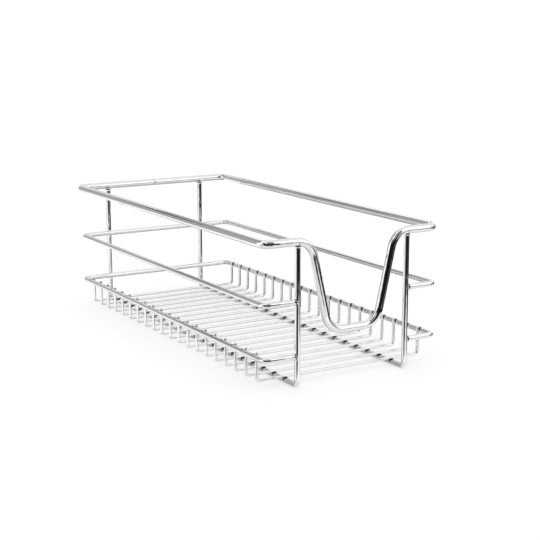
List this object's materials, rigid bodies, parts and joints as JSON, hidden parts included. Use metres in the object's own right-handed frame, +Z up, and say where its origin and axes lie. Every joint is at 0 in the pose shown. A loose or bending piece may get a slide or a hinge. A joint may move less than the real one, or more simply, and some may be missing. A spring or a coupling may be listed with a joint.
{
  "type": "pull out cabinet basket",
  "caption": "Long chromed wire basket for a kitchen cabinet, with a rim that dips into a pull handle at the front and cross wires for its floor.",
  "frame": {"origin": "on the surface that the basket stands on, below the middle of the basket", "axes": "+Y runs from the handle at the front to the back, +X to the right seen from the front, +Z up"},
  "size_m": [0.206, 0.448, 0.1455],
  "materials": {
    "rim_chrome": "bright chrome plating over the rim's smooth bent wire",
    "rail_chrome": "bright chrome plating over the rails' wire and their welds",
    "frame_chrome": "bright chrome plating over the frames' wire and their welds",
    "wire_chrome": "bright chrome plating over thin drawn wire with cut ends"
  },
  "bodies": {
    "root": {"top_rail": "rim_chrome", "middle_rail": "rail_chrome", "lower_rail": "rail_chrome", "left_frame": "frame_chrome", "right_frame": "frame_chrome", "cross_wire_01": "wire_chrome", "cross_wire_02": "wire_chrome", "cross_wire_03": "wire_chrome", "cross_wire_04": "wire_chrome", "cross_wire_05": "wire_chrome", "cross_wire_06": "wire_chrome", "cross_wire_07": "wire_chrome", "cross_wire_08": "wire_chrome", "cross_wire_09": "wire_chrome", "cross_wire_10": "wire_chrome", "cross_wire_11": "wire_chrome", "cross_wire_12": "wire_chrome", "cross_wire_13": "wire_chrome", "cross_wire_14": "wire_chrome", "cross_wire_15": "wire_chrome", "cross_wire_16": "wire_chrome", "cross_wire_17": "wire_chrome", "cross_wire_18": "wire_chrome", "cross_wire_19": "wire_chrome", "cross_wire_20": "wire_chrome"}
  },
  "joints": []
}
